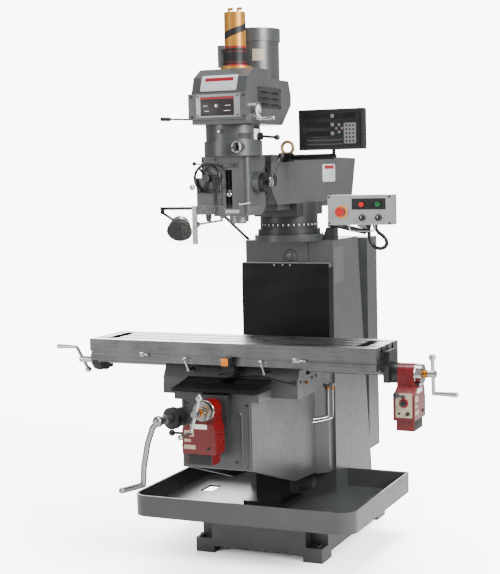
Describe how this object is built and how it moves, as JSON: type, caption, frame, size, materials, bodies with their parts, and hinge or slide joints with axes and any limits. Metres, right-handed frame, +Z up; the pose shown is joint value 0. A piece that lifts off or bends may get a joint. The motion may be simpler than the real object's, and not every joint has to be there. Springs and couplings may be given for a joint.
{
  "type": "vertical knee milling machine",
  "caption": "Floor-standing vertical mill: cast column and knee, long slotted table on cross slides, swivelling ram with belt-driven head, quill and powered table feeds, in a chip pan.",
  "frame": {"origin": "centre of the base's foundation bolt holes, on the floor", "axes": "+X runs along the table to the operator's right, +Y runs from the operator to the column's back, +Z is up"},
  "size_m": [1.917, 1.886, 2.4995],
  "materials": {
    "grey_enamel": "satin grey machine enamel over cast iron",
    "ground_iron": "surface-ground cast iron",
    "black_oxide": "black oxide and black enamel",
    "steel": "turned and satin-finished steel",
    "polished_steel": "polished chromium-plated steel",
    "red_enamel": "gloss red enamel",
    "gold_anodised": "gold anodised aluminium",
    "bronze": "cast bronze",
    "rubber_sheet": "black rubber sheet",
    "cable_rubber": "black rubber sleeve",
    "black_plastic": "moulded black plastic",
    "yellow_plastic": "yellow moulded plastic",
    "red_plastic": "red moulded plastic",
    "green_plastic": "green moulded plastic",
    "silver_panel": "brushed aluminium sheet",
    "clear_plastic": "clear polycarbonate",
    "readout_grey": "dark moulded plastic",
    "pan_enamel": "grey enamel over sheet steel"
  },
  "bodies": {
    "root": {"base_casting": "grey_enamel", "levelling_bolts": "black_oxide", "chip_pan": "pan_enamel", "column_casting": "grey_enamel", "way_cover_strip": "steel", "column_curtain": "rubber_sheet", "electrical_cabinet": "grey_enamel", "knee_screw_pedestal": "black_oxide", "column_brackets": "black_oxide"},
    "knee": {"knee_casting": "grey_enamel", "knee_front_bearings": "black_oxide", "cross_feed_housing": "red_enamel", "front_way_cover": "rubber_sheet"},
    "knee_crank_shaft": {"knee_crank": "steel"},
    "lift_screw": {"elevating_screw": "steel"},
    "cross_screw": {"cross_feed_screw": "polished_steel"},
    "cross_lever": {"cross_feed_lever": "black_plastic"},
    "saddle": {"saddle_casting": "grey_enamel", "limit_switch": "yellow_plastic", "limit_switch_cable": "cable_rubber"},
    "lock_left": {"table_lock_left": "polished_steel"},
    "lock_right": {"table_lock_right": "polished_steel"},
    "table": {"work_table": "ground_iron", "table_end_brackets": "black_oxide", "table_feed_housing": "red_enamel"},
    "table_screw_shaft": {"table_screw": "polished_steel"},
    "table_lever": {"table_feed_lever": "black_plastic"},
    "turret": {"turret": "grey_enamel"},
    "ram": {"ram_casting": "grey_enamel", "lifting_ring": "bronze", "readout_arm": "black_oxide"},
    "readout": {"readout_display": "readout_grey"},
    "panel_swing": {"panel_arm": "black_oxide"},
    "panel": {"control_panel": "silver_panel", "panel_conduit": "cable_rubber"},
    "stop_all": {"emergency_stop_button": "red_plastic"},
    "stop": {"stop_button": "red_plastic"},
    "start": {"start_button": "green_plastic"},
    "spindle_switch": {"spindle_selector": "black_plastic"},
    "coolant_switch": {"coolant_selector": "black_plastic"},
    "knuckle": {"head_adapter": "black_oxide"},
    "head": {"quill_housing": "grey_enamel", "gear_housing": "grey_enamel", "belt_housing": "grey_enamel", "drive_motor": "grey_enamel", "draw_bar_unit": "gold_anodised", "shield_bar": "steel"},
    "quill_slide": {"quill": "polished_steel"},
    "spindle_shaft": {"spindle": "polished_steel"},
    "feed_lever": {"quill_feed_lever": "black_oxide"},
    "fine_feed": {"fine_feed_handwheel": "black_plastic"},
    "speed_wheel": {"speed_handwheel": "polished_steel"},
    "brake": {"brake_lever": "black_plastic"},
    "range_change": {"range_lever": "black_plastic"},
    "feed_select": {"feed_selector": "black_plastic"},
    "quill_clamp": {"quill_lock": "polished_steel"},
    "shield": {"splash_shield": "clear_plastic"},
    "lamp_lower": {"lamp_lower_arm": "black_oxide"},
    "lamp_upper": {"lamp_upper_arm": "black_oxide"},
    "lamp": {"lamp_head": "black_plastic"}
  },
  "joints": [
    {"name": "knee_slide", "type": "slide", "parent": "root", "child": "knee", "axis": [0, 0, -1], "range_m": [-0.38, 0.01], "deforming": ["column_curtain"]},
    {"name": "knee_crank_turn", "type": "hinge", "parent": "knee", "child": "knee_crank_shaft", "pos_m": [0, -0.265, 0.723], "axis": [-0.2957, -0.9553, 0], "range_deg": [-190, 80]},
    {"name": "elevating_screw_turn", "type": "hinge", "parent": "knee", "child": "lift_screw", "pos_m": [0, -0.265, 0.5], "axis": [0, 0, 1], "range_deg": [-26964.6, 744.1]},
    {"name": "saddle_slide", "type": "slide", "parent": "knee", "child": "saddle", "axis": [0, 1, 0], "range_m": [-0.06, 0.3], "deforming": ["front_way_cover"]},
    {"name": "cross_crank_turn", "type": "hinge", "parent": "knee", "child": "cross_screw", "pos_m": [0, -0.9, 0.782], "axis": [0, -1, 0], "range_deg": [-4287.4, 21295.3]},
    {"name": "table_slide", "type": "slide", "parent": "saddle", "child": "table", "axis": [1, 0, 0], "range_m": [-0.355, 0.355]},
    {"name": "table_crank_turn", "type": "hinge", "parent": "table", "child": "table_screw_shaft", "pos_m": [0, -0.6075, 0.918], "axis": [1, 0, 0], "range_deg": [-25192.9, 25192.9]},
    {"name": "cross_feed_direction", "type": "hinge", "parent": "knee", "child": "cross_lever", "pos_m": [-0.1073, -0.958, 0.673], "axis": [-1, 0, 0], "range_deg": [-20, 20]},
    {"name": "table_feed_direction", "type": "hinge", "parent": "table", "child": "table_lever", "pos_m": [0.788, -0.7148, 0.834], "axis": [0, -1, 0], "range_deg": [-20, 20]},
    {"name": "left_table_lock", "type": "hinge", "parent": "saddle", "child": "lock_left", "pos_m": [-0.182, -0.76, 0.9147], "axis": [0, 1, 0], "range_deg": [-25, 40]},
    {"name": "right_table_lock", "type": "hinge", "parent": "saddle", "child": "lock_right", "pos_m": [0.182, -0.76, 0.9147], "axis": [0, 1, 0], "range_deg": [-25, 40]},
    {"name": "turret_swivel", "type": "hinge", "parent": "root", "child": "turret", "pos_m": [0, 0, 1.5], "axis": [0, 0, 1], "range_deg": [-18, 20]},
    {"name": "ram_travel", "type": "slide", "parent": "turret", "child": "ram", "axis": [0, 1, 0], "range_m": [-0.02, 0.2]},
    {"name": "readout_swivel", "type": "hinge", "parent": "ram", "child": "readout", "pos_m": [0.37, -0.362, 1.9], "axis": [0, 0, 1], "range_deg": [-30, 30]},
    {"name": "panel_arm_swing", "type": "hinge", "parent": "root", "child": "panel_swing", "pos_m": [0.214, 0.024, 1.5], "axis": [0, 0, 1], "range_deg": [-10, 25]},
    {"name": "panel_swivel", "type": "hinge", "parent": "panel_swing", "child": "panel", "pos_m": [0.524, -0.408, 1.53], "axis": [0, 0, 1], "range_deg": [-25, 25]},
    {"name": "emergency_stop_press", "type": "slide", "parent": "panel", "child": "stop_all", "axis": [0, 1, 0], "range_m": [0, 0.004], "stiffness_N_per_m": 300},
    {"name": "stop_press", "type": "slide", "parent": "panel", "child": "stop", "axis": [0, 1, 0], "range_m": [0, 0.004], "stiffness_N_per_m": 300},
    {"name": "start_press", "type": "slide", "parent": "panel", "child": "start", "axis": [0, 1, 0], "range_m": [0, 0.004], "stiffness_N_per_m": 300},
    {"name": "spindle_select_turn", "type": "hinge", "parent": "panel", "child": "spindle_switch", "pos_m": [0.546, -0.5, 1.572], "axis": [0, 1, 0], "range_deg": [-45, 45]},
    {"name": "coolant_select_turn", "type": "hinge", "parent": "panel", "child": "coolant_switch", "pos_m": [0.62, -0.5, 1.572], "axis": [0, 1, 0], "range_deg": [-45, 45]},
    {"name": "head_nod", "type": "hinge", "parent": "ram", "child": "knuckle", "pos_m": [0, -0.43, 1.74], "axis": [1, 0, 0], "range_deg": [-5, 30]},
    {"name": "head_tilt", "type": "hinge", "parent": "knuckle", "child": "head", "pos_m": [0, -0.5, 1.74], "axis": [0, -1, 0], "range_deg": [-12, 45]},
    {"name": "quill_lever_turn", "type": "hinge", "parent": "head", "child": "feed_lever", "pos_m": [0.1, -0.618, 1.735], "axis": [1, 0, 0], "range_deg": [0, 270]},
    {"name": "quill_travel", "type": "slide", "parent": "head", "child": "quill_slide", "axis": [0, 0, -1], "range_m": [0, 0.1273]},
    {"name": "spindle_turn", "type": "hinge", "parent": "quill_slide", "child": "spindle_shaft", "pos_m": [0, -0.586, 1.6], "axis": [0, 0, 1], "continuous": true},
    {"name": "fine_feed_turn", "type": "hinge", "parent": "head", "child": "fine_feed", "pos_m": [-0.087, -0.72, 1.757], "axis": [0, -1, 0], "continuous": true},
    {"name": "speed_wheel_turn", "type": "hinge", "parent": "head", "child": "speed_wheel", "pos_m": [0.13, -0.69, 2.042], "axis": [1, 0, 0], "range_deg": [-540, 540]},
    {"name": "brake_lever_swing", "type": "hinge", "parent": "head", "child": "brake", "pos_m": [-0.13, -0.7, 2.014], "axis": [1, 0, 0], "range_deg": [-20, 20]},
    {"name": "range_change_turn", "type": "hinge", "parent": "head", "child": "range_change", "pos_m": [0.13, -0.632, 1.935], "axis": [1, 0, 0], "range_deg": [-60, 60]},
    {"name": "feed_select_turn", "type": "hinge", "parent": "head", "child": "feed_select", "pos_m": [0.072, -0.74, 1.889], "axis": [0, -1, 0], "range_deg": [-60, 60]},
    {"name": "quill_lock_turn", "type": "hinge", "parent": "head", "child": "quill_clamp", "pos_m": [0.062, -0.7, 1.642], "axis": [0, -1, 0], "range_deg": [-15, 60]},
    {"name": "shield_lift", "type": "slide", "parent": "head", "child": "shield", "axis": [0, 0, 1], "range_m": [0, 0.06]},
    {"name": "lamp_foot_swivel", "type": "hinge", "parent": "root", "child": "lamp_lower", "pos_m": [-0.262, 0.137, 1.43], "axis": [0, 0, 1], "range_deg": [-8, 8]},
    {"name": "lamp_elbow_swivel", "type": "hinge", "parent": "lamp_lower", "child": "lamp_upper", "pos_m": [-0.224, -0.3, 1.6], "axis": [0, 0, 1], "range_deg": [-20, 8]},
    {"name": "lamp_head_swivel", "type": "hinge", "parent": "lamp_upper", "child": "lamp", "pos_m": [-0.47, -0.42, 1.6], "axis": [0, 0, 1], "range_deg": [-30, 30]}
  ],
  "couplings": [
    {"joint": "elevating_screw_turn", "follows": "knee_slide", "rad_per_m": 1236.8},
    {"joint": "cross_crank_turn", "follows": "saddle_slide", "rad_per_m": 1236.8},
    {"joint": "table_crank_turn", "follows": "table_slide", "rad_per_m": 1236.8},
    {"joint": "quill_travel", "follows": "quill_lever_turn", "m_per_rad": 0.02695}
  ]
}
